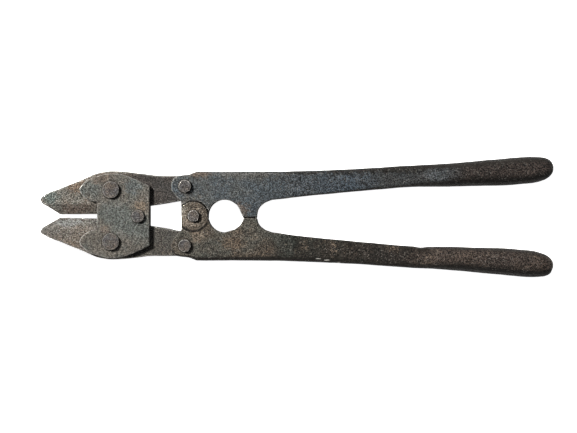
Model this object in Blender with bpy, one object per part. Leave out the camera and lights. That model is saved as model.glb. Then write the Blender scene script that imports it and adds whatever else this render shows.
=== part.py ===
"""Forged hand bolt cutters, lying flat: jaws to -X, grips to +X, +Z up, metres."""
import bpy
import bmesh
from math import atan2, cos, pi, radians, sin, sqrt
from mathutils import Matrix, Vector

MM = 0.001

# ---- sizes in millimetres, measured from the centre pin and the tool's midline ----
GAP = 0.3                # between pieces that touch or slide
STRAP_T = 4.6            # side plates
JAW_T = 10.4             # jaws
REAR_STACK = 3.6         # back plate's outer face above the rest plane

JAW_PIN_BACK = 73.3      # centre pin to the jaw pins, along the tool
JAW_PIN_OUT = 23.0       # jaw pins from the midline
LINK_PIN_BACK = 7.7
LINK_PIN_OUT = 26.4
SPACER_BACK = 49.2
SPACER_OUT = -0.4        # spacer rivet from the midline

BLADE_REACH = 63.3       # jaw pin to the jaw's tip
UPPER_EDGE = (1.1, 1.3)  # cutting edge from the midline, at the nose and at the throat
LOWER_EDGE = (1.55, 2.5)
UPPER_BACK = 0.5         # how far the upper jaw's back stands out beyond the common line
LOWER_BACK = -0.4
BLADE_BEVEL = 9.2        # width of the ground bevel
EDGE_LAND = 0.5          # half thickness left on the cutting edge
NOSE_LENGTH = 15.4       # slanted opening in front of the edges
TAIL_END_R = 9.3         # round end of a jaw's tail about the link pin

JAW_PIN_R = 5.0
LINK_PIN_R = 3.5
CENTRE_PIN_R = 3.5
SPACER_R = 3.2
SLEEVE_R = 5.2
OPEN_PIVOT_PLAY = 1.4    # extra room about the lower link pin
JAW_HEAD_R, JAW_HEAD_H = 7.5, 2.7
LINK_HEAD_R, LINK_HEAD_H = 5.7, 2.6
SPACER_HEAD_R, SPACER_HEAD_H = 5.6, 2.4
CENTRE_HEAD_R, CENTRE_HEAD_H = 5.2, 2.4
WASHER_T = 1.5
HEAD_CHAMFER = 0.7

HANDLE_REACH = 320.4     # centre pin to the ends of the grips
HEAD_HALF_WIDTH = 39.8   # handle's outer edge at the fork
GRIP_SPREAD = 41.2       # grip's axis from the midline, near its end
GRIP_WIDTH = 24.8
GRIP_THICK = 19.2
WAIST_WIDTH = 19.8       # bar in front of the grip
WAIST_THICK = 15.6
BOSS_R = 13.2            # lapped centre discs
BOSS_PROUD = 0.5
BOSS_FLAT = 10.9         # flat on the discs' front, from the centre pin
EYE_X, EYE_R = 27.6, 14.3                      # round opening behind the boss
EYE_POINT = 44.0         # its blunt point at the stop faces
STOP_END = 56.5          # rear end of the stop faces
STOP_OUT = 1.8           # stop faces below the midline
STOP_SLANT = 0.6         # the stop faces lean this much either way over their height
LAP_GAP = 0.2            # round the lapped discs
EDGE_ROUND = 3.4         # rounding along the handles' outer edges
CROTCH_LONG, CROTCH_DEEP = 20.4, 13.0
SLOT_ROOM = 2.0          # fork slot beyond the jaw's tail

SEG = 32                 # sides of a round piece

# ---- what follows from them ----
Z_BACK = REAR_STACK
Z_JAW = Z_BACK + STRAP_T + GAP
Z_JAW_TOP = Z_JAW + JAW_T
Z_FRONT = Z_JAW_TOP + GAP
Z_TOP = Z_FRONT + STRAP_T
Z_MID = (Z_BACK + Z_TOP) / 2
HALF_STACK = (Z_TOP - Z_BACK) / 2
TIP_X = -(JAW_PIN_BACK + BLADE_REACH)
SHIFT_X = -(HANDLE_REACH + TIP_X) / 2
HEEL_R = JAW_PIN_OUT - GAP / 2
TURN_OVER = Matrix.Translation((0, 0, Z_MID)) @ Matrix.Rotation(pi, 4, 'X') @ Matrix.Translation((0, 0, -Z_MID))

PIECES = {}


def material(name, colour, rough):
    mat = bpy.data.materials.new(name)
    mat.use_nodes = True
    bsdf = mat.node_tree.nodes["Principled BSDF"]
    bsdf.inputs["Base Color"].default_value = (*colour, 1.0)
    bsdf.inputs["Metallic"].default_value = 1.0
    bsdf.inputs["Roughness"].default_value = rough
    return mat


def finish(bm, name, pivot, colour, rough):
    """Turn a mesh in millimetres into a named object whose origin is its pivot."""
    bmesh.ops.recalc_face_normals(bm, faces=bm.faces)
    origin = Vector((pivot[0], pivot[1], pivot[2]))
    bmesh.ops.translate(bm, vec=-origin, verts=bm.verts)
    bmesh.ops.scale(bm, vec=(MM, MM, MM), verts=bm.verts)
    mesh = bpy.data.meshes.new(name)
    bm.to_mesh(mesh)
    bm.free()
    obj = bpy.data.objects.new(name, mesh)
    bpy.context.scene.collection.objects.link(obj)
    obj.location = ((origin.x + SHIFT_X) * MM, origin.y * MM, origin.z * MM)
    obj.data.materials.append(material(name, colour, rough))
    for poly in obj.data.polygons:
        poly.use_smooth = True
    obj.data.set_sharp_from_angle(angle=radians(35))
    PIECES[name] = obj
    return obj


def cut(obj, bm, name, turned=False):
    """Take the solid bm away from obj with a live Boolean."""
    if turned:
        bm.transform(TURN_OVER)
    bmesh.ops.recalc_face_normals(bm, faces=bm.faces)
    bmesh.ops.translate(bm, vec=(SHIFT_X, 0, 0), verts=bm.verts)
    bmesh.ops.scale(bm, vec=(MM, MM, MM), verts=bm.verts)
    mesh = bpy.data.meshes.new(name)
    bm.to_mesh(mesh)
    bm.free()
    cutter = bpy.data.objects.new(name, mesh)
    bpy.context.scene.collection.objects.link(cutter)
    cutter.hide_render = True
    cutter.display_type = 'WIRE'
    mod = obj.modifiers.new(name, 'BOOLEAN')
    mod.operation = 'DIFFERENCE'
    mod.solver = 'EXACT'
    mod.object = cutter
    return mod


def extrude(points, z0, z1):
    bm = bmesh.new()
    low = [bm.verts.new((x, y, z0)) for x, y in points]
    high = [bm.verts.new((x, y, z1)) for x, y in points]
    n = len(points)
    bm.faces.new(low)
    bm.faces.new(high)
    for i in range(n):
        j = (i + 1) % n
        bm.faces.new((low[i], low[j], high[j], high[i]))
    return bm


def arc(cx, cy, r, a0, a1, steps):
    """Points on a circle from angle a0 to a1, in degrees."""
    return [(cx + r * cos(radians(a0 + (a1 - a0) * i / steps)),
             cy + r * sin(radians(a0 + (a1 - a0) * i / steps))) for i in range(steps + 1)]


def disc(cx, cy, r, z0, z1, sides=SEG):
    return extrude(arc(cx, cy, r, 0, 360 * (sides - 1) / sides, sides - 1), z0, z1)


def smooth_run(points, steps):
    """Catmull-Rom curve through the points, any number of values per point."""
    out = []
    last = len(points) - 1
    for i in range(last):
        p0, p1 = points[max(i - 1, 0)], points[i]
        p2, p3 = points[i + 1], points[min(i + 2, last)]
        for k in range(steps):
            t = k / steps
            out.append(tuple(0.5 * (2 * b + (c - a) * t + (2 * a - 5 * b + 4 * c - d) * t * t
                                    + (3 * b - a - 3 * c + d) * t ** 3)
                             for a, b, c, d in zip(p0, p1, p2, p3)))
    out.append(tuple(points[-1]))
    return out


def soften(obj, width, segments=2, angle=40):
    mod = obj.modifiers.new("edge", 'BEVEL')
    mod.width = width * MM
    mod.segments = segments
    mod.limit_method = 'ANGLE'
    mod.angle_limit = radians(angle)
    return mod


# ---------------------------------------------------------------- side plates
def strap_outline():
    """C-shaped plate: two rounded lobes over the jaw pins, straight rear edge."""
    px, py = -JAW_PIN_BACK, JAW_PIN_OUT
    lobe = [(-28.0, 0.2), (-25.9, -4.4), (-21.9, -7.9), (-17.0, -10.1), (-13.2, -11.0)]
    back = [(-11.5, 12.3), (-3.0, 14.3), (6.0, 14.2), (13.5, 12.6), (22.0, 9.4), (31.5, 4.9)]
    front = [(-26.1, 3.9), (-22.0, 8.0), (-16.8, 10.6)]
    rear = JAW_PIN_BACK - SPACER_BACK + 10.3
    upper = [(px + x, py + y) for x, y in smooth_run(list(reversed(lobe)) + front + back, 2)]
    upper.append((px + rear, py + 3.5))
    throat = [(px - 12.3, py - 11.4)]
    half = throat + upper
    return half + [(x, -y) for x, y in reversed(half)]


def strap(name, z0, colour):
    bm = extrude(strap_outline(), z0, z0 + STRAP_T)
    obj = finish(bm, name, (-JAW_PIN_BACK, 0, z0), colour, 0.6)
    soften(obj, 0.7, 2, 50)
    for side, tag in ((1, "upper"), (-1, "lower")):
        hole = disc(-JAW_PIN_BACK, side * JAW_PIN_OUT, JAW_PIN_R + GAP, z0 - 2, z0 + STRAP_T + 2)
        cut(obj, hole, name + "_hole_" + tag)
    hole = disc(-SPACER_BACK, SPACER_OUT, SPACER_R + GAP, z0 - 2, z0 + STRAP_T + 2)
    cut(obj, hole, name + "_hole_spacer")
    return obj


# ---------------------------------------------------------------------- jaws
def jaw_outline(edge, back):
    """Blade, heel arc about the jaw pin and tail about the link pin, upper jaw."""
    nose_edge, throat_edge = edge
    px, py = -JAW_PIN_BACK, JAW_PIN_OUT
    tx, ty = -LINK_PIN_BACK, LINK_PIN_OUT
    tip = TIP_X
    top = [(tip, py - 9.2), (tip + 1.1, py - 6.7), (tip + 4.6, py - 4.6), (tip + 8.2, py - 2.6),
           (tip + 17.2, py + 0.5), (tip + 26.1, py + 4.2), (tip + 36.8, py + 8.4),
           (px - 15.8, py + 13.3), (px - 10.4, py + 14.9), (px - 5.1, py + 15.8),
           (px + 0.3, py + 16.3), (px + 11.0, py + 15.9), (px + 21.7, py + 14.8),
           (px + 32.4, py + 13.5), (tx - 22.5, ty + TAIL_END_R + 0.1), (tx - 9.0, ty + TAIL_END_R)]
    top = [(x, y + back if i in range(2, 14) else y) for i, (x, y) in enumerate(top)]
    outer = smooth_run(top, 2)
    end = arc(tx, ty, TAIL_END_R, 90, -66, 12)
    drop = sqrt(HEEL_R ** 2 - (py - throat_edge) ** 2)
    heel_from = atan2(7.0 - py, 16.0) * 180 / pi
    heel_to = -180 + atan2(py - throat_edge, drop) * 180 / pi
    heel = arc(px, py, HEEL_R, heel_from, heel_to, 14)
    inner = [(tx - 3.6, ty - 13.0), (tx - 17.0, ty - 15.6), (px + 34.5, py - 14.2), (px + 24.0, py - 14.1)]
    nose = [(tip + NOSE_LENGTH + 2.0, nose_edge), (tip + 2.0, py - 12.4)]
    return outer + end + inner + heel + nose


def blade_wedge(front, edge):
    """Wedge that grinds one bevel of a blade, from the ridge down to the cutting edge."""
    nose_edge, throat_edge = edge
    x0 = TIP_X - 4
    x1 = -JAW_PIN_BACK - sqrt(HEEL_R ** 2 - (JAW_PIN_OUT - throat_edge) ** 2) - 0.6
    z_out = HALF_STACK
    bm = bmesh.new()
    rows = []
    for x, low in ((x0, nose_edge), (x1, throat_edge)):
        slope = (JAW_T / 2 - EDGE_LAND) / BLADE_BEVEL
        y_low = low - 4
        y_high = low + BLADE_BEVEL + (z_out - JAW_T / 2) / slope
        rows.append([(x, y_low, EDGE_LAND - 4 * slope), (x, y_high, z_out), (x, y_low, z_out)])
    rings = [[bm.verts.new((x, y, Z_MID + (z if front else -z))) for x, y, z in row] for row in rows]
    bm.faces.new(rings[0])
    bm.faces.new(rings[1])
    for i in range(3):
        j = (i + 1) % 3
        bm.faces.new((rings[0][i], rings[0][j], rings[1][j], rings[1][i]))
    return bm


def jaw(name, upper, colour):
    edge = UPPER_EDGE if upper else LOWER_EDGE
    bm = extrude(jaw_outline(edge, UPPER_BACK if upper else LOWER_BACK), Z_JAW, Z_JAW_TOP)
    side = 1 if upper else -1
    if not upper:
        bm.transform(TURN_OVER)
    obj = finish(bm, name, (-JAW_PIN_BACK, side * JAW_PIN_OUT, Z_MID), colour, 0.55)
    soften(obj, 0.8, 2, 50)
    for front in (True, False):
        cut(obj, blade_wedge(front, edge), name + ("_bevel_front" if front else "_bevel_back"), not upper)
    play = GAP if upper else GAP + OPEN_PIVOT_PLAY
    hole = disc(-JAW_PIN_BACK, JAW_PIN_OUT, JAW_PIN_R + GAP, Z_JAW - 2, Z_JAW_TOP + 2)
    cut(obj, hole, name + "_pivot_hole", not upper)
    hole = disc(-LINK_PIN_BACK, LINK_PIN_OUT, LINK_PIN_R + play, Z_JAW - 2, Z_JAW_TOP + 2)
    cut(obj, hole, name + "_link_hole", not upper)
    return obj


# ------------------------------------------------------------------- handles
def handle_stations(inner0):
    """x, inner edge, outer edge, half thickness, inner and outer rounding along one handle."""
    reach, out = HANDLE_REACH, HEAD_HALF_WIDTH
    half = HALF_STACK
    tx, ty = -LINK_PIN_BACK, LINK_PIN_OUT
    lug = [(tx - 12.3, ty - 3.2, ty + 1.2), (tx - 11.9, ty - 4.2, ty + 4.2), (tx - 10.6, ty - 6.0, ty + 6.6),
           (tx - 8.6, ty - 8.8, ty + 8.4), (tx - 6.3, ty - 11.4, ty + 9.5), (tx - 3.5, ty - 13.6, ty + 9.9)]
    rows = [(x, a, b, half, 1.0, 1.0) for x, a, b in lug]
    rows.append((-BOSS_FLAT + 0.1, inner0, ty + 10.0, half, 1.0, 1.0))
    rows.append((tx + 3.4, inner0, ty + 10.6, half, 1.0, 1.3))
    rows.append((tx + 7.0, inner0, out - 1.4, half, 1.0, 2.2))
    rows.append((tx + 10.5, inner0, out, half, 1.0, EDGE_ROUND - 0.4))
    rows.append((EYE_X, inner0, out, half, 1.0, EDGE_ROUND))
    rows.append((STOP_END, inner0, out, half, 1.0, EDGE_ROUND))
    for deg in (0, 15, 30, 48, 68, 90):
        x = STOP_END + 0.3 + CROTCH_LONG * (1 - cos(radians(deg)))
        y = 2.2 + CROTCH_DEEP * sin(radians(deg))
        rows.append((x, y, out + (x - STOP_END) * 0.006, half - 0.02 * (x - STOP_END), 1.2, EDGE_ROUND))
    root_in = 2.2 + CROTCH_DEEP
    root_x = STOP_END + CROTCH_LONG
    waist_x = reach - 136.0
    waist_axis = GRIP_SPREAD - 5.8
    waist = (waist_x, waist_axis - WAIST_WIDTH / 2, waist_axis + WAIST_WIDTH / 2, WAIST_THICK / 2, 3.6, 4.2)
    first = (root_x + 21.5, root_in + 2.5, out + 0.8, half - 1.1, 1.8, EDGE_ROUND + 0.2)
    middle = (root_x + 0.62 * (waist_x - root_x), root_in + 0.62 * (waist[1] - root_in) + 0.4,
              out + 0.62 * (waist[2] - out) - 0.6, WAIST_THICK / 2 + 0.35, 2.8, EDGE_ROUND + 0.5)
    rows += [first, middle, waist]
    thick = GRIP_THICK / 2
    grip = [(120.3, -4.9, WAIST_WIDTH, thick - 1.3, 5.2),
            (93.5, -4.1, WAIST_WIDTH + 1.4, thick - 0.7, 8.0),
            (72.0, -2.8, GRIP_WIDTH - 2.1, thick - 0.2, 9.0),
            (45.3, -1.3, GRIP_WIDTH - 0.3, thick, 9.4),
            (29.2, 0.0, GRIP_WIDTH, thick, 9.4),
            (18.0, 0.7, GRIP_WIDTH - 0.9, thick - 0.2, 9.4),
            (7.8, 1.8, GRIP_WIDTH - 4.5, thick - 1.4, 8.2),
            (2.6, 2.2, GRIP_WIDTH - 10.6, thick - 3.8, 5.8),
            (0.5, 2.2, GRIP_WIDTH - 17.4, thick - 6.6, 3.0)]
    axis = [(reach - d, GRIP_SPREAD + off - w / 2, GRIP_SPREAD + off + w / 2, h, r, r)
            for d, off, w, h, r in grip]
    axis.append((reach, GRIP_SPREAD + 0.7, GRIP_SPREAD + 3.7, 1.4, 1.2, 1.2))
    return rows, axis


def section(x, y0, y1, half, r_in, r_out, corner=4):
    """Rounded rectangle across the handle at x."""
    yc, w = (y0 + y1) / 2, (y1 - y0) / 2
    pts = []
    for sy, sz, a0 in ((1, 1, 0), (-1, 1, 90), (-1, -1, 180), (1, -1, 270)):
        r = min(r_out if sy > 0 else r_in, 0.97 * w, 0.97 * half)
        for k in range(corner + 1):
            a = radians(a0 + 90 * k / corner)
            z = sz * (half - r) + r * sin(a)
            lean = STOP_SLANT * z / half if sy < 0 and -BOSS_FLAT <= x <= STOP_END else 0
            pts.append((x, yc + sy * (w - r) + r * cos(a) + lean, Z_MID + z))
    return pts


def handle_body(inner0):
    front, rear = handle_stations(inner0)
    bar_from = len(front) - 3
    run = front[:bar_from] + smooth_run(front[bar_from:] + rear, 2)
    bm = bmesh.new()
    rings = [[bm.verts.new(p) for p in section(*row)] for row in run]
    n = len(rings[0])
    for a, b in zip(rings, rings[1:]):
        for i in range(n):
            j = (i + 1) % n
            bm.faces.new((a[i], a[j], b[j], b[i]))
    bm.faces.new(rings[0])
    bm.faces.new(rings[-1])
    return bm


def eye_outline():
    """Round behind the boss, drawn out to a blunt point at the stop faces."""
    left = arc(EYE_X, 0, EYE_R, 62, 270, 26)
    low = [(EYE_X + 9.0, -11.6), (EYE_POINT - 2.6, -7.4), (EYE_POINT - 0.5, -3.8)]
    point = [(EYE_POINT, -STOP_OUT - 0.8), (EYE_POINT - 0.4, -STOP_OUT + 0.6), (EYE_POINT - 3.6, 6.6),
             (EYE_POINT - 5.6, 9.8)]
    return left + low + point


def boss_outline(r):
    half_angle = 180 - atan2(sqrt(r * r - BOSS_FLAT ** 2), BOSS_FLAT) * 180 / pi
    return arc(0, 0, r, -half_angle, half_angle, SEG - 4)


def handle(name, upper, colour):
    side = 1 if upper else -1
    turned = not upper
    bm = handle_body(GAP / 2 - side * STOP_OUT)
    if turned:
        bm.transform(TURN_OVER)
    obj = finish(bm, name, (-LINK_PIN_BACK, side * LINK_PIN_OUT, Z_MID) if upper else (0, 0, Z_MID), colour, 0.6)
    lap = disc(0, 0, BOSS_R + LAP_GAP, Z_MID - GAP / 2, Z_TOP + 4, SEG + 8)
    cut(obj, lap, name + "_lap", turned)
    boss = extrude(boss_outline(BOSS_R), Z_BACK - BOSS_PROUD, Z_MID - GAP / 2)
    cut(obj, boss, name + "_boss", turned).operation = 'UNION'
    cut(obj, extrude(eye_outline(), Z_BACK - 4, Z_TOP + 4), name + "_eye")
    tx, ty = -LINK_PIN_BACK, LINK_PIN_OUT
    z0, z1 = Z_JAW - GAP, Z_JAW_TOP + GAP
    root = TAIL_END_R + SLOT_ROOM
    slot = [(tx + 4.0, ty + 26), (tx - 40, ty + 26), (tx - 40, ty - 14.5), (tx, ty - 14.5)]
    start = sqrt(root ** 2 - 16.0)
    slot += arc(tx, ty, root, -90, atan2(start, 4.0) * 180 / pi, 16)
    cut(obj, extrude(slot, z0, z1), name + "_fork_slot", turned)
    cut(obj, disc(tx, ty, LINK_PIN_R + GAP, Z_BACK - 4, Z_TOP + 4), name + "_link_hole", turned)
    cut(obj, disc(0, 0, CENTRE_PIN_R + GAP, Z_BACK - 6, Z_TOP + 6), name + "_centre_hole", turned)
    return obj


# ------------------------------------------------------- pins, sleeve, washers
def lathe(cx, cy, profile, sides=SEG):
    """Solid of revolution about +Z from (radius, z) points, closed top and bottom."""
    bm = bmesh.new()
    rings = [[bm.verts.new((cx + r * cos(2 * pi * i / sides), cy + r * sin(2 * pi * i / sides), z))
              for i in range(sides)] for r, z in profile]
    for a, b in zip(rings, rings[1:]):
        for i in range(sides):
            j = (i + 1) % sides
            bm.faces.new((a[i], a[j], b[j], b[i]))
    bm.faces.new(list(reversed(rings[0])))
    bm.faces.new(rings[-1])
    return bm


def tube(cx, cy, r_out, r_in, z0, z1, chamfer, sides=SEG):
    """Ring or sleeve with chamfered outer rims."""
    bm = bmesh.new()
    profile = [(r_in, z0), (r_out - chamfer, z0), (r_out, z0 + chamfer),
               (r_out, z1 - chamfer), (r_out - chamfer, z1), (r_in, z1)]
    rings = [[bm.verts.new((cx + r * cos(2 * pi * i / sides), cy + r * sin(2 * pi * i / sides), z))
              for i in range(sides)] for r, z in profile]
    for a, b in zip(rings, rings[1:] + rings[:1]):
        for i in range(sides):
            j = (i + 1) % sides
            bm.faces.new((a[i], a[j], b[j], b[i]))
    return bm


def pin(name, x, y, r, head_r, head_h, proud, lift, colour):
    """Headed pin: riveted rear end, shank, flat-topped chamfered head at the front."""
    z_head = Z_TOP + proud + GAP
    rear_r = r + 1.6
    z_rear = Z_BACK - GAP - WASHER_T - GAP - (BOSS_PROUD if proud else 0)
    profile = [(rear_r - 0.5, lift), (rear_r, lift + 0.4), (rear_r, z_rear), (r, z_rear), (r, z_head),
               (head_r, z_head), (head_r, z_head + head_h - HEAD_CHAMFER),
               (head_r - HEAD_CHAMFER * 0.45, z_head + head_h - HEAD_CHAMFER * 0.25),
               (head_r - HEAD_CHAMFER * 1.3, z_head + head_h)]
    finish(lathe(x, y, profile), name, (x, y, 0), colour, 0.5)
    z_wash = z_rear + GAP
    washer = tube(x, y, head_r * 0.94, r + GAP, z_wash, z_wash + WASHER_T, 0.3)
    finish(washer, name.replace("_pin", "").replace("_rivet", "") + "_washer", (x, y, z_wash), colour, 0.55)


def build():
    for old in list(bpy.data.objects):
        bpy.data.objects.remove(old, do_unlink=True)
    plate = (0.13, 0.13, 0.12)
    blade = (0.19, 0.18, 0.16)
    bar = (0.09, 0.09, 0.09)
    rivet = (0.15, 0.14, 0.13)
    strap("front_strap", Z_FRONT, plate)
    strap("back_strap", Z_BACK, plate)
    jaw("upper_jaw", True, blade)
    jaw("lower_jaw", False, blade)
    handle("upper_handle", True, bar)
    handle("lower_handle", False, bar)
    for side, tag in ((1, "upper"), (-1, "lower")):
        pin(tag + "_jaw_pin", -JAW_PIN_BACK, side * JAW_PIN_OUT, JAW_PIN_R, JAW_HEAD_R, JAW_HEAD_H, 0, 0, rivet)
        pin(tag + "_link_pin", -LINK_PIN_BACK, side * LINK_PIN_OUT, LINK_PIN_R, LINK_HEAD_R, LINK_HEAD_H,
            0, GAP, rivet)
    pin("spacer_rivet", -SPACER_BACK, SPACER_OUT, SPACER_R, SPACER_HEAD_R, SPACER_HEAD_H, 0, GAP, rivet)
    pin("centre_pin", 0, 0, CENTRE_PIN_R, CENTRE_HEAD_R, CENTRE_HEAD_H, BOSS_PROUD, 0.1, rivet)
    sleeve = tube(-SPACER_BACK, SPACER_OUT, SLEEVE_R, SPACER_R + GAP, Z_JAW, Z_JAW_TOP, 0.3)
    finish(sleeve, "spacer_sleeve", (-SPACER_BACK, SPACER_OUT, Z_JAW), rivet, 0.5)


build()
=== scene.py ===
import math
import bpy
import numpy as np
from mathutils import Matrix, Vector


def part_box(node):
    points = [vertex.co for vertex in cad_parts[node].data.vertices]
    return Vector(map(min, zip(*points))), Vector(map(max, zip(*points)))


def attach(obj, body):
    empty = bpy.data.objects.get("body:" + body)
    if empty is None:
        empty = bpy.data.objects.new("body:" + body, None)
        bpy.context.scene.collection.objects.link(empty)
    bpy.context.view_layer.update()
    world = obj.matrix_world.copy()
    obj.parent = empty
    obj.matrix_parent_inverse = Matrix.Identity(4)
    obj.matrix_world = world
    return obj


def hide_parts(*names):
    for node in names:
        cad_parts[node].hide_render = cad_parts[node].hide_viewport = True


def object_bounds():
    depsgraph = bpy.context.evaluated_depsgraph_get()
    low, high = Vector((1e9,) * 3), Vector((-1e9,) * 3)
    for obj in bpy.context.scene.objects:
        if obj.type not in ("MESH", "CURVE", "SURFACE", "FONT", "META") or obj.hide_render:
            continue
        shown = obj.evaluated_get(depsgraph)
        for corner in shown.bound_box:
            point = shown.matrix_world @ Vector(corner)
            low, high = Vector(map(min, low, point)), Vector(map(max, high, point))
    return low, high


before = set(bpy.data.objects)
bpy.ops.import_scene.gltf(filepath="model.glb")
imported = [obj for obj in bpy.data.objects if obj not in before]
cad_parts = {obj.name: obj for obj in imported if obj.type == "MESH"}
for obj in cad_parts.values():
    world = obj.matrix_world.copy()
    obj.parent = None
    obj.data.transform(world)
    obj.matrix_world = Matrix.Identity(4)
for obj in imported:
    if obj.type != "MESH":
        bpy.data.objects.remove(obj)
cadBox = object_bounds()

mm = 0.001
rimReach = 6  # rounds of smoothing that a rim is measured against
scene = bpy.context.scene
scene.view_settings.view_transform = "Standard"


def pickOnly(piece):
    bpy.ops.object.select_all(action="DESELECT")
    piece.select_set(True)
    bpy.context.view_layer.objects.active = piece


def applyAll(piece):
    pickOnly(piece)
    for mod in list(piece.modifiers):
        bpy.ops.object.modifier_apply(modifier=mod.name)


def copyOfNode(node, name):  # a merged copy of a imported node, with its own mesh
    pickOnly(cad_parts[node])
    bpy.ops.object.duplicate(linked=False)
    piece = bpy.context.view_layer.objects.active
    piece.name = name
    piece.data.name = name
    bpy.ops.object.mode_set(mode="EDIT")
    bpy.ops.mesh.select_all(action="SELECT")
    bpy.ops.mesh.remove_doubles(threshold=0.00002)
    bpy.ops.mesh.normals_make_consistent(inside=False)
    bpy.ops.object.mode_set(mode="OBJECT")
    piece.data.materials.clear()
    return piece


def cloudTexture(name, size, depth):
    tex = bpy.data.textures.new(name, "CLOUDS")
    tex.noise_scale = size
    tex.noise_depth = depth
    tex.noise_basis = "ORIGINAL_PERLIN"
    return tex


def readVerts(mesh, what):
    flat = np.empty(len(mesh.vertices) * 3)
    mesh.vertices.foreach_get(what, flat)
    return flat.reshape(-1, 3)


def markRims(piece, look):  # attributes: how far a place stands out, and how far it faces sideways
    mesh = piece.data
    where, away = readVerts(mesh, "co"), readVerts(mesh, "normal")
    count = len(where)
    ends = np.empty(len(mesh.edges) * 2, dtype=np.int32)
    mesh.edges.foreach_get("vertices", ends)
    one, two = ends[0::2], ends[1::2]
    joined = np.bincount(ends, minlength=count)[:, None]
    calm = where
    for _ in range(rimReach):
        total = np.stack([np.bincount(one, calm[two, axis], count) + np.bincount(two, calm[one, axis], count)
                          for axis in range(3)], axis=1)
        calm = 0.5 * calm + 0.5 * total / joined
    rim = ((where - calm) * away).sum(axis=1) / look["grid"]
    mesh.attributes.new("rim", "FLOAT", "POINT").data.foreach_set("value", rim)
    mesh.attributes.new("side", "FLOAT", "POINT").data.foreach_set("value", away[:, 1].copy())


def forgeSurface(piece, look):  # dense skin, softened edges, hammered waves and scale pits
    pickOnly(piece)
    skin = piece.modifiers.new("skin", "REMESH")
    skin.mode = "VOXEL"
    skin.voxel_size = look["grid"]
    worn = piece.modifiers.new("worn", "SMOOTH")
    worn.factor = 0.5
    worn.iterations = look["wornEdges"]
    applyAll(piece)
    markRims(piece, look)
    layers = (("wave", look["waveSize"], 1, look.get("inward", 0.55)), ("pit", look["pitSize"], 3, 0.62))
    for key, size, depth, share in layers:
        rough = piece.modifiers.new(key, "DISPLACE")
        rough.texture = cloudTexture(piece.name + key, size, depth)
        rough.texture_coords = "LOCAL"
        rough.mid_level = share
        rough.strength = look[key]
    applyAll(piece)
    bpy.ops.object.shade_smooth()


def pressDents(piece, dents):  # chips and knocks, pushed in along the skin's own normal
    mesh = piece.data
    where, away = readVerts(mesh, "co"), readVerts(mesh, "normal")
    for x, y, z, radius, deep in dents:
        gone = np.linalg.norm(where - np.array((x, y, z)) * mm, axis=1) / (radius * mm)
        fall = np.clip(1.0 - gone, 0.0, 1.0)
        fall = fall * fall * (3.0 - 2.0 * fall)
        where -= away * (fall * deep * mm)[:, None]
    where = np.clip(where, np.array(cadBox[0]) + 0.00002, np.array(cadBox[1]) - 0.00002)
    mesh.vertices.foreach_set("co", where.ravel())
    mesh.update()


def node(tree, kind, inputs=None, **settings):
    made = tree.nodes.new(kind)
    for key, value in settings.items():
        setattr(made, key, value)
    for key, value in (inputs or {}).items():
        if isinstance(value, bpy.types.NodeSocket):
            tree.links.new(value, made.inputs[key])
        else:
            made.inputs[key].default_value = value
    return made


def ramp(tree, factor, stops):
    made = tree.nodes.new("ShaderNodeValToRGB")
    bar = made.color_ramp
    while len(bar.elements) < len(stops):
        bar.elements.new(0.5)
    for spot, (place, colour) in zip(bar.elements, stops):
        spot.position = place
        spot.color = colour if len(colour) == 4 else (*colour, 1.0)
    tree.links.new(factor, made.inputs["Fac"])
    return made.outputs["Color"]


def span(tree, value, low, high, to0=0.0, to1=1.0):  # smooth step from low to high
    made = node(tree, "ShaderNodeMapRange", {"Value": value, "From Min": low, "From Max": high,
                                             "To Min": to0, "To Max": to1}, interpolation_type="SMOOTHSTEP")
    return made.outputs["Result"]


def calc(tree, how, a, b=0.0, clamp=False):
    return node(tree, "ShaderNodeMath", {0: a, 1: b}, operation=how, use_clamp=clamp).outputs[0]


def blendColour(tree, factor, a, b, how="MIX"):
    made = node(tree, "ShaderNodeMix", {"Factor": factor}, data_type="RGBA", blend_type=how)
    for slot, value in ((6, a), (7, b)):
        if isinstance(value, bpy.types.NodeSocket):
            tree.links.new(value, made.inputs[slot])
        else:
            made.inputs[slot].default_value = (*value, 1.0)
    return made.outputs[2]


def newGroup(name, takes, gives):
    group = bpy.data.node_groups.new(name, "ShaderNodeTree")
    for label, kind, value in takes:
        socket = group.interface.new_socket(label, in_out="INPUT", socket_type=kind)
        if value is not None:
            socket.default_value = value
    for label, kind in gives:
        group.interface.new_socket(label, in_out="OUTPUT", socket_type=kind)
    return group, group.nodes.new("NodeGroupInput"), group.nodes.new("NodeGroupOutput")


def useGroup(tree, group, inputs):
    made = tree.nodes.new("ShaderNodeGroup")
    made.node_tree = group
    for key, value in inputs.items():
        if isinstance(value, bpy.types.NodeSocket):
            tree.links.new(value, made.inputs[key])
        else:
            made.inputs[key].default_value = value
    return made.outputs


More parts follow.
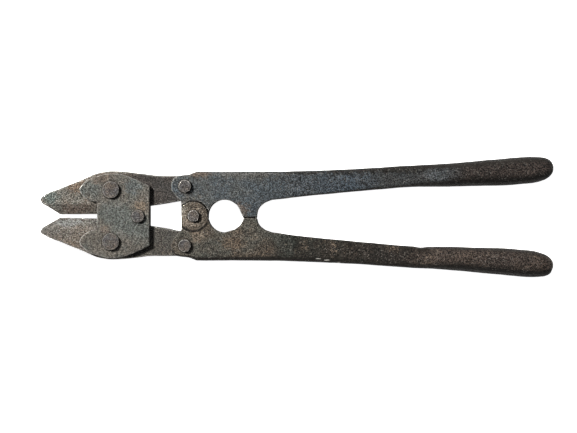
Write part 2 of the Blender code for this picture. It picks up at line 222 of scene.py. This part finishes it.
def makeForgeGrain():  # fine light and dark speckle of pitted forged steel
    group, takes, gives = newGroup(
        "forgeGrain",
        [("Vector", "NodeSocketVector", None), ("Scale", "NodeSocketFloat", 1.0)],
        [("Tone", "NodeSocketFloat"), ("Height", "NodeSocketFloat"), ("Pits", "NodeSocketFloat"),
         ("Glint", "NodeSocketFloat")])
    place = node(group, "ShaderNodeVectorMath", {0: takes.outputs["Vector"], "Scale": takes.outputs["Scale"]},
                 operation="SCALE").outputs[0]
    fine = node(group, "ShaderNodeTexNoise", {"Vector": place, "Scale": 900.0, "Detail": 2.0, "Roughness": 0.7})
    mid = node(group, "ShaderNodeTexNoise", {"Vector": place, "Scale": 300.0, "Detail": 4.0, "Roughness": 0.7})
    cells = node(group, "ShaderNodeTexVoronoi", {"Vector": place, "Scale": 800.0, "Randomness": 1.0})
    chance = node(group, "ShaderNodeSeparateColor", {"Color": cells.outputs["Color"]}).outputs
    near = span(group, cells.outputs["Distance"], 0.5, 0.2)
    pits = calc(group, "MULTIPLY", near, span(group, chance["Red"], 0.62, 0.78))
    flecks = calc(group, "MULTIPLY", near, span(group, chance["Red"], 0.36, 0.0))
    fineTone = span(group, fine.outputs["Fac"], 0.34, 0.66)
    midTone = span(group, mid.outputs["Fac"], 0.3, 0.7)
    tone = calc(group, "ADD", calc(group, "MULTIPLY", fineTone, 0.8), calc(group, "MULTIPLY", midTone, 0.2))
    height = calc(group, "SUBTRACT", tone, calc(group, "MULTIPLY", pits, 0.9))
    group.links.new(tone, gives.inputs["Tone"])
    group.links.new(height, gives.inputs["Height"])
    group.links.new(pits, gives.inputs["Pits"])
    group.links.new(flecks, gives.inputs["Glint"])
    return group


def makeRustBloom():  # broken patches of brown, from dark scale to dusty orange
    group, takes, gives = newGroup(
        "rustBloom",
        [("Vector", "NodeSocketVector", None), ("Scale", "NodeSocketFloat", 60.0),
         ("Level", "NodeSocketFloat", 0.55), ("Soft", "NodeSocketFloat", 0.12)],
        [("Mask", "NodeSocketFloat"), ("Colour", "NodeSocketColor")])
    wide = node(group, "ShaderNodeTexNoise", {"Vector": takes.outputs["Vector"], "Scale": takes.outputs["Scale"],
                                              "Detail": 6.0, "Roughness": 0.68})
    fine = node(group, "ShaderNodeTexNoise", {"Vector": takes.outputs["Vector"], "Scale": 700.0, "Detail": 3.0,
                                              "Roughness": 0.7})
    mixed = calc(group, "ADD", calc(group, "MULTIPLY", fine.outputs["Fac"], 0.3),
                 calc(group, "MULTIPLY", wide.outputs["Fac"], 0.7))
    high = calc(group, "ADD", takes.outputs["Level"], takes.outputs["Soft"])
    mask = node(group, "ShaderNodeMapRange", {"Value": mixed, "From Min": takes.outputs["Level"],
                                              "From Max": high}, interpolation_type="SMOOTHSTEP")
    colour = ramp(group, span(group, fine.outputs["Fac"], 0.3, 0.7),
                  [(0.0, (0.040, 0.028, 0.021)), (0.45, (0.085, 0.060, 0.043)), (0.8, (0.15, 0.108, 0.075)),
                   (1.0, (0.26, 0.20, 0.145))])
    group.links.new(mask.outputs["Result"], gives.inputs["Mask"])
    group.links.new(colour, gives.inputs["Colour"])
    return group


def makeEdgeWearAndSheen():  # rubbed high edges lightened as wear and painted highlight, and darker concave corners
    group, takes, gives = newGroup(
        "edgeWearAndSheen",
        [("Vector", "NodeSocketVector", None), ("Rim", "NodeSocketFloat", 0.0), ("From", "NodeSocketFloat", 0.1),
         ("To", "NodeSocketFloat", 0.3)],
        [("Edge", "NodeSocketFloat"), ("Corner", "NodeSocketFloat")])
    shape = takes.outputs["Rim"]
    grit = node(group, "ShaderNodeTexNoise", {"Vector": takes.outputs["Vector"], "Scale": 500.0, "Detail": 3.0,
                                              "Roughness": 0.7})
    edge = node(group, "ShaderNodeMapRange", {"Value": shape, "From Min": takes.outputs["From"],
                                              "From Max": takes.outputs["To"]}, interpolation_type="SMOOTHSTEP")
    broken = calc(group, "MULTIPLY", edge.outputs["Result"], span(group, grit.outputs["Fac"], 0.34, 0.52))
    group.links.new(broken, gives.inputs["Edge"])
    group.links.new(span(group, shape, -0.08, -0.3), gives.inputs["Corner"])
    return group


def makeSpot():  # a soft broken spot about one place, for dusting, stains, rubbed places, painted highlights and painted shade
    group, takes, gives = newGroup(
        "spot",
        [("Vector", "NodeSocketVector", None), ("Centre", "NodeSocketVector", (0.0, 0.0, 0.0)),
         ("Stretch", "NodeSocketVector", (1.0, 1.0, 1.0)), ("Radius", "NodeSocketFloat", 0.01)],
        [("Mask", "NodeSocketFloat")])
    off = node(group, "ShaderNodeVectorMath", {0: takes.outputs["Vector"], 1: takes.outputs["Centre"]},
               operation="SUBTRACT").outputs[0]
    off = node(group, "ShaderNodeVectorMath", {0: off, 1: takes.outputs["Stretch"]},
               operation="MULTIPLY").outputs[0]
    gone = node(group, "ShaderNodeVectorMath", {0: off}, operation="LENGTH").outputs["Value"]
    ratio = calc(group, "DIVIDE", gone, takes.outputs["Radius"])
    grit = node(group, "ShaderNodeTexNoise", {"Vector": takes.outputs["Vector"], "Scale": 260.0, "Detail": 5.0,
                                              "Roughness": 0.7})
    ragged = calc(group, "ADD", ratio, span(group, grit.outputs["Fac"], 0.25, 0.75, -0.45, 0.45))
    group.links.new(span(group, ragged, 1.05, 0.35), gives.inputs["Mask"])
    return group


forgeGrain = makeForgeGrain()
rustBloom = makeRustBloom()
edgeWearAndSheen = makeEdgeWearAndSheen()
spot = makeSpot()
print("shared effects ready")


def dabOn(tree, place, colour, dabs):  # patches of another colour at chosen places
    for paint, centre, stretch, radius, strength in dabs:
        mask = useGroup(tree, spot, {"Vector": place, "Centre": [c * mm for c in centre], "Stretch": stretch,
                                     "Radius": radius * mm})["Mask"]
        colour = blendColour(tree, calc(tree, "MULTIPLY", mask, strength), colour, paint)
    return colour


def agedSteel(name, look):
    mat = bpy.data.materials.new(name)
    mat.use_nodes = True
    tree = mat.node_tree
    shader = tree.nodes["Principled BSDF"]
    place = node(tree, "ShaderNodeTexCoord").outputs["Object"]
    grain = useGroup(tree, forgeGrain, {"Vector": place, "Scale": look.get("grainScale", 1.0)})
    broad = node(tree, "ShaderNodeTexNoise", {"Vector": place, "Scale": look["tintScale"], "Detail": 3.0,
                                              "Roughness": 0.6}).outputs["Fac"]
    tint = span(tree, broad, 0.38, 0.62)
    colour = blendColour(tree, tint, look["cool"], look["warm"])
    where = node(tree, "ShaderNodeSeparateXYZ", {"Vector": place}).outputs["X"]
    where = calc(tree, "ADD", where, span(tree, broad, 0.3, 0.7, -0.012, 0.012))
    side = node(tree, "ShaderNodeAttribute", attribute_name="side").outputs["Fac"]
    # painted highlight: sides facing +Y, towards the key light, are lightened
    for low, high, litTint, strength in look.get("dusty", []):
        there = calc(tree, "MULTIPLY", span(tree, side, low, high), strength)
        colour = blendColour(tree, there, colour, litTint)
    for start, end, cool, warm in look.get("along", []):  # other colours farther along the tool
        there = span(tree, where, start * mm, end * mm)
        colour = blendColour(tree, there, colour, blendColour(tree, tint, cool, warm))
    # colour patches, some of them painted highlights and painted shade
    colour = dabOn(tree, place, colour, look.get("spots", []))
    rust = useGroup(tree, rustBloom, {"Vector": place, "Scale": look["rustScale"], "Level": look["rustLevel"]})
    rustMask = calc(tree, "MULTIPLY", rust["Mask"], look["rustAmount"])
    colour = blendColour(tree, rustMask, colour, rust["Colour"])
    shade = span(tree, grain["Tone"], 0.0, 1.0, look["speckleLow"], look["speckleHigh"])
    for start, end, share in look.get("speckleGrow", []):  # stronger light and dark grain farther along
        grow = span(tree, where, start * mm, end * mm, 1.0, share)
        shade = calc(tree, "ADD", calc(tree, "MULTIPLY", calc(tree, "SUBTRACT", shade, 1.0), grow), 1.0)
        shade = calc(tree, "MAXIMUM", shade, 0.05)
    grey = node(tree, "ShaderNodeCombineXYZ", {"X": shade, "Y": shade, "Z": shade}).outputs[0]
    colour = blendColour(tree, 1.0, colour, grey, "MULTIPLY")
    rim = node(tree, "ShaderNodeAttribute", attribute_name="rim").outputs["Fac"]
    wearAndSheen = useGroup(tree, edgeWearAndSheen, {"Vector": place, "Rim": rim, "From": look["wearFrom"],
                                     "To": look["wearTo"]})
    # rubbed rims lightened: wear, partly a painted highlight
    colour = blendColour(tree, calc(tree, "MULTIPLY", wearAndSheen["Edge"], look["edgeAmount"]), colour, look["edge"])
    # painted shade: sides turned towards +Y or -Y are darkened over chosen stretches of the tool
    for low, high, start, end, shadeTint, strength in look.get("sooty", []):
        there = calc(tree, "MULTIPLY", span(tree, side, low, high), span(tree, where, start * mm, end * mm))
        colour = blendColour(tree, calc(tree, "MULTIPLY", there, strength), colour, shadeTint)
    steep = span(tree, calc(tree, "ABSOLUTE", side), 0.2, 0.9, 1.0, 0.3)  # duller on the side faces
    flecks = calc(tree, "MULTIPLY", calc(tree, "MULTIPLY", grain["Glint"], look["glint"]), steep)
    for start, end, share in look.get("fleckFade", []):  # fewer bright flecks farther along
        flecks = calc(tree, "MULTIPLY", flecks, span(tree, where, start * mm, end * mm, 1.0, share))
    colour = blendColour(tree, flecks, colour, look["fleck"])
    # scratches, and painted shade along the lower handle's bottom edge and in a knock
    colour = dabOn(tree, place, colour, look.get("stains", []))
    for x, y, radius in look.get("rings", []):  # a darker ring close round a pin's head
        flat = node(tree, "ShaderNodeVectorMath", {0: place, 1: (x * mm, y * mm, 0.0)},
                    operation="SUBTRACT").outputs[0]
        flat = node(tree, "ShaderNodeVectorMath", {0: flat, 1: (1.0, 1.0, 0.0)}, operation="MULTIPLY").outputs[0]
        gone = node(tree, "ShaderNodeVectorMath", {0: flat}, operation="LENGTH").outputs["Value"]
        ring = span(tree, gone, (radius + 1.5) * mm, (radius + 0.3) * mm)
        colour = blendColour(tree, calc(tree, "MULTIPLY", ring, 0.75), colour, look["dirt"])
    dirt = calc(tree, "MAXIMUM", calc(tree, "MULTIPLY", wearAndSheen["Corner"], look["corner"]),
                calc(tree, "MULTIPLY", grain["Pits"], 0.75))
    colour = blendColour(tree, dirt, colour, look["dirt"])
    tree.links.new(colour, shader.inputs["Base Color"])
    metal = calc(tree, "MULTIPLY", calc(tree, "SUBTRACT", 1.0, rustMask), look["metal"])
    metal = calc(tree, "MAXIMUM", metal, calc(tree, "MULTIPLY", wearAndSheen["Edge"], 0.9))
    tree.links.new(metal, shader.inputs["Metallic"])
    rough = span(tree, grain["Tone"], 0.0, 1.0, look["roughHigh"], look["roughLow"])
    rough = calc(tree, "ADD", rough, calc(tree, "MULTIPLY", rustMask, 0.2))
    rough = calc(tree, "SUBTRACT", rough, calc(tree, "MULTIPLY", wearAndSheen["Edge"], 0.28), clamp=True)
    tree.links.new(rough, shader.inputs["Roughness"])
    bump = node(tree, "ShaderNodeBump", {"Strength": look["bump"], "Distance": 0.0006,
                                         "Height": grain["Height"]})
    tree.links.new(bump.outputs["Normal"], shader.inputs["Normal"])
    shader.inputs["Specular IOR Level"].default_value = look["specular"]
    return mat


baseLook = {"tintScale": 30.0, "rustScale": 55.0, "rustLevel": 0.54, "rustAmount": 0.6, "speckleLow": 0.3,
            "speckleHigh": 1.7, "glint": 0.6, "fleck": (0.23, 0.22, 0.20), "edge": (0.30, 0.29, 0.27),
            "edgeAmount": 0.6,
            "dirt": (0.017, 0.013, 0.009), "metal": 0.55, "roughLow": 0.42, "roughHigh": 0.62, "bump": 0.8,
            "wearFrom": 0.12, "wearTo": 0.35, "specular": 0.45, "corner": 0.8}


def variant(**changes):
    look = dict(baseLook)
    look.update(changes)
    return look


plateSteel = agedSteel("plateSteel", variant(
    grainScale=1.0, speckleLow=0.3, speckleHigh=1.7, edge=(0.55, 0.53, 0.50), edgeAmount=0.7,
    wearFrom=0.14, wearTo=0.34,
    cool=(0.072, 0.078, 0.072), warm=(0.086, 0.077, 0.065), rustAmount=0.35, rustLevel=0.57,
    spots=[((0.140, 0.106, 0.074), (-139, 9, 24), (0.8, 1, 0), 7, 0.65),
           ((0.105, 0.078, 0.060), (-176, 34, 24), (0.5, 1, 0), 7, 0.6),
           ((0.058, 0.074, 0.078), (-146, 27, 24), (1, 1, 0), 10, 0.6),
           ((0.115, 0.082, 0.062), (-170, -12, 24), (1, 1, 0), 5, 0.5),
           ((0.052, 0.048, 0.042), (-142, -34, 24), (0.6, 1, 0), 12, 0.55)],
    rings=[(-165.2, 23, 7.5), (-165.2, -23, 7.5), (-141.1, -0.4, 5.6)]))
upperJawSteel = agedSteel("upperJawSteel", variant(
    fleck=(0.34, 0.33, 0.30), glint=0.85, speckleLow=0.1, speckleHigh=1.95,
    fleckFade=[(-152, -138, 0.2)], wearFrom=0.05, wearTo=0.2,
    cool=(0.100, 0.095, 0.082), warm=(0.108, 0.088, 0.070), rustAmount=0.5, rustLevel=0.54,
    spots=[((0.078, 0.098, 0.090), (-220, 16, 18), (0.8, 1, 0), 8, 0.8),
           ((0.135, 0.092, 0.064), (-194, 26, 18), (0.6, 1, 0), 8, 0.7),
           ((0.085, 0.062, 0.050), (-197, 6, 18), (0.4, 1, 0), 6, 0.6)],
    # darker jaw tail: partly rust, partly painted shade in the recess between strap and handle
    along=[(-150, -138, (0.034, 0.032, 0.030), (0.040, 0.034, 0.030))]))
lowerJawSteel = agedSteel("lowerJawSteel", variant(
    fleck=(0.34, 0.33, 0.30), glint=0.85, speckleLow=0.1, speckleHigh=1.95,
    fleckFade=[(-152, -138, 0.2)], wearFrom=0.05, wearTo=0.2,
    cool=(0.092, 0.089, 0.082), warm=(0.104, 0.088, 0.073), rustAmount=0.4, rustLevel=0.55,
    spots=[((0.130, 0.098, 0.072), (-203, -27, 18), (0.5, 1, 0), 6, 0.65),
           # painted highlight on the lower jaw's bevel, which faces the light
           ((0.150, 0.153, 0.148), (-202, -6, 18), (0.28, 1, 0), 5, 0.85)],
    # darker jaw tail: partly rust, partly painted shade in the recess between strap and handle
    along=[(-150, -138, (0.052, 0.051, 0.046), (0.056, 0.050, 0.042))]))
upperHandleSteel = agedSteel("upperHandleSteel", variant(
    grainScale=1.1, speckleLow=0.25, speckleHigh=1.75, glint=0.6, fleck=(0.24, 0.23, 0.21), specular=0.3,
    speckleGrow=[(-40, 10, 1.5), (110, 140, 1.4)],
    cool=(0.054, 0.065, 0.073), warm=(0.062, 0.066, 0.065), rustAmount=0.25, rustLevel=0.58,
    # painted highlight on the sides facing +Y
    dusty=[(0.1, 0.45, (0.078, 0.080, 0.079), 0.45)],
    # painted shade on the turned-away and rounded sides
    sooty=[(-0.2, -0.6, -130, -110, (0.014, 0.012, 0.010), 0.7),
           (0.45, 0.9, -130, -60, (0.018, 0.017, 0.015), 0.7),
           (0.2, 0.7, 40, 120, (0.010, 0.008, 0.006), 0.9), (0.0, -0.4, 100, 140, (0.005, 0.004, 0.003), 0.95)],
    along=[(-35, 15, (0.045, 0.058, 0.071), (0.050, 0.058, 0.065)),
           (35, 85, (0.038, 0.042, 0.044), (0.041, 0.042, 0.042)),
           (118, 142, (0.028, 0.022, 0.019), (0.038, 0.029, 0.025))],
    # painted shade along the rounded top edge
    spots=[((0.013, 0.012, 0.010), (2, 39.8, 24), (0.12, 1, 0), 4, 0.85),
           ((0.013, 0.012, 0.010), (48, 41.4, 24), (0.12, 1, 0), 5.2, 0.9),
           ((0.013, 0.012, 0.010), (92, 43.0, 24), (0.14, 1, 0), 5.8, 0.9),
           # painted highlight on the lit shoulder near the top edge
           ((0.092, 0.089, 0.082), (-42, 37, 24), (0.16, 1, 0), 6, 0.7),
           ((0.105, 0.078, 0.058), (-86, 38, 24), (0.4, 1, 0), 5, 0.7),
           ((0.100, 0.076, 0.060), (-51, 5, 24), (0.8, 1, 0), 9, 0.7),
           # painted highlight where the neck swells into the grip
           ((0.080, 0.088, 0.094), (122, 37, 24), (0.5, 1, 0), 6, 0.7),
           ((0.105, 0.092, 0.076), (-98, 4, 24), (1, 1, 0), 19, 0.6)],
    rings=[(-99.6, 26.4, 5.7)], edgeAmount=0.6))
lowerHandleSteel = agedSteel("lowerHandleSteel", variant(
    grainScale=1.1, speckleLow=0.1, speckleHigh=2.0, glint=0.8, fleck=(0.23, 0.21, 0.185), specular=0.3,
    corner=0.4, speckleGrow=[(-40, 10, 1.5)],
    cool=(0.055, 0.056, 0.048), warm=(0.068, 0.055, 0.042), rustAmount=0.5, rustLevel=0.53,
    # painted highlight on the sides facing +Y
    dusty=[(0.15, 0.6, (0.060, 0.046, 0.036), 0.6)],
    # painted shade on the turned-away and rounded sides
    sooty=[(-0.1, -0.9, -130, -90, (0.006, 0.005, 0.004), 0.9),
           (-0.01, -0.18, 80, 20, (0.005, 0.004, 0.003), 0.95),
           (0.4, 0.85, 60, 130, (0.016, 0.013, 0.011), 0.8),
           (0.05, -0.5, 105, 150, (0.006, 0.005, 0.004), 0.93)],
    along=[(-40, 0, (0.016, 0.019, 0.016), (0.022, 0.019, 0.015)),
           (30, 80, (0.015, 0.014, 0.012), (0.021, 0.017, 0.014)),
           (100, 122, (0.044, 0.034, 0.029), (0.060, 0.045, 0.036))],
    spots=[((0.150, 0.118, 0.088), (-89, -16, 24), (1, 1, 0), 8, 0.7),
           ((0.105, 0.075, 0.052), (-57, -24, 24), (0.55, 1, 0), 8, 0.6),
           ((0.060, 0.058, 0.050), (-57, 3, 24), (0.5, 1, 0), 6, 0.5),
           ((0.165, 0.142, 0.116), (-94, -2, 24), (1, 1, 0), 13, 0.65),
           # dusty worn rim of the boss, lightened further as a painted highlight on its lit upper-left edge
           ((0.215, 0.198, 0.168), (-103, 4, 24), (1, 0.6, 0), 6, 0.7)],
    # dark entries: painted shade along the bottom edge and in the knock's hollow; light entries: scratches
    stains=[((0.010, 0.008, 0.006), (-20, -41, 24), (0.08, 1, 0), 8, 0.8),
            ((0.010, 0.008, 0.006), (92, -47, 20), (0.1, 1, 0), 8, 0.85),
            ((0.010, 0.008, 0.006), (112, -30, 18), (0.5, 1, 0), 4.5, 0.85),
            ((0.500, 0.480, 0.440), (19, -37.6, 20), (0.2, 1, 0), 0.6, 0.85),
            ((0.500, 0.480, 0.440), (27, -38.9, 20), (0.16, 1, 0), 0.6, 0.85),
            ((0.450, 0.430, 0.400), (37, -41.0, 20), (0.3, 1, 0), 0.7, 0.85)],
    rings=[(-91.9, 0, 5.2), (-99.6, -26.4, 5.7)], edgeAmount=0.3))
rivetSteel = agedSteel("rivetSteel", variant(
    cool=(0.062, 0.060, 0.061), warm=(0.076, 0.063, 0.053), rustAmount=0.45, rustLevel=0.53, tintScale=80.0,
    edge=(0.42, 0.40, 0.37), edgeAmount=0.65, wearFrom=0.07, wearTo=0.28))
hiddenSteel = agedSteel("hiddenSteel", variant(
    cool=(0.07, 0.07, 0.065), warm=(0.10, 0.08, 0.06), rustAmount=0.7, rustLevel=0.48))
print("materials ready")


forgings = {
    "front_strap": {"name": "frontPlate", "body": "plates", "slot": "plate_steel", "mat": plateSteel},
    "back_strap": {"name": "backPlate", "body": "plates", "slot": "plate_steel", "mat": plateSteel},
    "upper_jaw": {"name": "upperJaw", "body": "upper_jaw", "slot": "jaw_steel", "mat": upperJawSteel},
    "lower_jaw": {"name": "lowerJaw", "body": "lower_jaw", "slot": "jaw_steel", "mat": lowerJawSteel},
    "upper_handle": {"name": "upperHandle", "body": "upper_handle", "slot": "handle_steel",
                     "mat": upperHandleSteel},
    "lower_handle": {"name": "lowerHandle", "body": "lower_handle", "slot": "handle_steel",
                     "mat": lowerHandleSteel},
}
skins = {
    "plate_steel": {"grid": 0.00055, "wornEdges": 2, "wave": 0.00035, "waveSize": 0.012, "pit": 0.00018,
                    "pitSize": 0.0016},
    "jaw_steel": {"grid": 0.0006, "wornEdges": 2, "wave": 0.0004, "waveSize": 0.012, "pit": 0.00018,
                  "pitSize": 0.0017},
    "handle_steel": {"grid": 0.00075, "wornEdges": 2, "wave": 0.0006, "inward": 0.85, "waveSize": 0.016,
                     "pit": 0.0002,
                     "pitSize": 0.0019},
}
knocks = {
    "upperHandle": [(95, 22, 20, 3.0, 0.5), (150, 47, 17, 2.6, 0.4), (15, 41, 20, 3.5, 0.4)],
    "lowerHandle": [(110, -27.5, 15, 8.0, 2.2), (119, -28, 17, 4.5, 1.1), (20, -41.5, 20, 5.0, 0.6),
                    (34, -42, 20, 4.0, 0.5), (227, -47, 14, 3.0, 0.7)],
    "upperJaw": [(-214, 3, 13, 2.0, 0.6), (-206, 3, 13, 1.6, 0.5)],
    "lowerJaw": [(-201, -3, 13, 1.6, 0.5), (-190, -3, 13, 1.8, 0.6)],
    "frontPlate": [(-187, 26, 24, 1.6, 0.5), (-180, 33, 24, 1.6, 0.4)],
}


def makeForging(nodeName, what):
    piece = copyOfNode(nodeName, what["name"])
    forgeSurface(piece, skins[what["slot"]])
    pressDents(piece, knocks.get(what["name"], []))
    piece.data.materials.append(what["mat"])
    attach(piece, what["body"])
    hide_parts(nodeName)
    print("forging", what["name"], len(piece.data.polygons))


for nodeName, what in forgings.items():
    makeForging(nodeName, what)


pinLook = {"grid": 0.0004, "wornEdges": 2, "wave": 0.0003, "waveSize": 0.005, "pit": 0.00022, "pitSize": 0.0013}
pins = {
    "upper_jaw_pin": {"name": "upperJawPin", "body": "plates", "shank": 5.0, "head": 2.7},
    "lower_jaw_pin": {"name": "lowerJawPin", "body": "plates", "shank": 5.0, "head": 2.7},
    "spacer_rivet": {"name": "spacerRivet", "body": "plates", "shank": 3.2, "head": 2.4},
    "upper_link_pin": {"name": "upperLinkPin", "body": "upper_handle", "shank": 3.5, "head": 2.6},
    "lower_link_pin": {"name": "lowerLinkPin", "body": "lower_handle", "shank": 3.5, "head": 2.6},
    "centre_pin": {"name": "centrePin", "body": "lower_handle", "shank": 3.5, "head": 2.4},
}


def selectFlat(piece, z, up):  # flat faces at one height
    bpy.ops.object.mode_set(mode="OBJECT")
    for face in piece.data.polygons:
        face.select = abs(face.center.z - z) < 0.00001 and face.normal.z * up > 0.9
    bpy.ops.object.mode_set(mode="EDIT")


def makePin(nodeName, what):  # a headed blank turned down to its shank, then riveted over behind
    low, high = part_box(nodeName)
    x, y = (low[0] + high[0]) / 2, (low[1] + high[1]) / 2
    headR, headH, shankR = (high[0] - low[0]) / 2, what["head"] * mm, what["shank"] * mm
    under = high[2] - headH
    bpy.ops.object.select_all(action="DESELECT")
    bpy.ops.mesh.primitive_cylinder_add(vertices=56, radius=headR, depth=headH,
                                        location=(x, y, high[2] - headH / 2))
    piece = bpy.context.view_layer.objects.active
    piece.name = what["name"]
    bpy.ops.object.transform_apply(location=True, rotation=True, scale=True)
    bpy.ops.object.mode_set(mode="EDIT")
    bpy.ops.mesh.select_mode(type="FACE")
    selectFlat(piece, high[2], 1)
    bpy.ops.mesh.inset(thickness=0.0009)
    selectFlat(piece, under, -1)
    bpy.ops.mesh.inset(thickness=headR - shankR)
    bpy.ops.mesh.extrude_region_move(TRANSFORM_OT_translate={"value": (0, 0, low[2] + 0.0013 - under)})
    bpy.ops.mesh.extrude_region_move(TRANSFORM_OT_translate={"value": (0, 0, -0.0004)})
    grow = (shankR + 0.0015) / shankR
    bpy.ops.transform.resize(value=(grow, grow, 1.0))
    bpy.ops.mesh.extrude_region_move(TRANSFORM_OT_translate={"value": (0, 0, -0.0009)})
    bpy.ops.object.mode_set(mode="OBJECT")
    bevel = piece.modifiers.new("rim", "BEVEL")
    bevel.width = 0.0006
    bevel.segments = 3
    bevel.limit_method = "ANGLE"
    bevel.angle_limit = math.radians(50)
    applyAll(piece)
    look = dict(pinLook)
    if what["name"] == "lowerLinkPin":  # peened unevenly
        look.update(wave=0.0009, waveSize=0.0028)
    forgeSurface(piece, look)
    pressDents(piece, [])
    piece.data.materials.append(rivetSteel)
    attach(piece, what["body"])
    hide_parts(nodeName)
    print("pin", what["name"], len(piece.data.polygons))


for nodeName, what in pins.items():
    makePin(nodeName, what)


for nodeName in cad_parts:
    if not nodeName.endswith("_washer") and nodeName != "spacer_sleeve":
        continue
    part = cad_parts[nodeName]
    part.data.materials.clear()
    part.data.materials.append(hiddenSteel)


view = {"middle": (-7.6, -0.25), "plane": 20.0, "away": 2000.0, "wide": 512.6645, "turn": 0.15}


def makeStage():
    bpy.ops.object.select_all(action="DESELECT")
    bpy.ops.mesh.primitive_plane_add(size=8.0, location=(0, 0, 0))
    floor = bpy.context.view_layer.objects.active
    floor.name = "floor"
    mat = bpy.data.materials.new("paleFloor")
    mat.use_nodes = True
    tree = mat.node_tree
    shader = tree.nodes["Principled BSDF"]
    shader.inputs["Base Color"].default_value = (0.86, 0.86, 0.86, 1.0)
    shader.inputs["Roughness"].default_value = 0.9
    shader.inputs["Specular IOR Level"].default_value = 0.0
    seen = node(tree, "ShaderNodeLightPath").outputs["Is Camera Ray"]
    shader.inputs["Emission Color"].default_value = (1.0, 1.0, 1.0, 1.0)
    tree.links.new(seen, shader.inputs["Emission Strength"])
    floor.data.materials.append(mat)


def areaLight(name, place, size, power, colour=(1.0, 1.0, 1.0)):
    bpy.ops.object.select_all(action="DESELECT")
    bpy.ops.object.light_add(type="AREA", location=place)
    lamp = bpy.context.view_layer.objects.active
    lamp.name = name
    lamp.data.shape = "DISK"
    lamp.data.size = size
    lamp.data.energy = power
    lamp.data.color = colour
    lamp.rotation_euler = (Vector((0, 0, 0)) - Vector(place)).to_track_quat("-Z", "Y").to_euler()


def makeLight():
    world = bpy.data.worlds.new("softRoom")
    scene.world = world
    world.use_nodes = True
    back = world.node_tree.nodes["Background"]
    back.inputs["Color"].default_value = (0.92, 0.96, 1.0, 1.0)
    back.inputs["Strength"].default_value = 0.12
    areaLight("key", (-1.0, 0.6, 1.0), 0.25, 63.0, (1.0, 0.98, 0.95))
    areaLight("top", (0.1, 0.6, 1.6), 0.9, 3.0, (0.93, 0.96, 1.0))


def makeCamera():
    away = view["away"] * mm
    stand = Vector((view["middle"][0] * mm, view["middle"][1] * mm, view["plane"] * mm + away))
    bpy.ops.object.select_all(action="DESELECT")
    bpy.ops.object.camera_add(location=stand, rotation=(0, 0, math.radians(view["turn"])))
    camera = bpy.context.view_layer.objects.active
    camera.data.sensor_width = 36.0
    camera.data.lens = 36.0 * away / (view["wide"] * mm)
    camera.data.clip_end = 20.0
    scene.camera = camera


makeStage()
makeLight()
makeCamera()
print("stage ready")
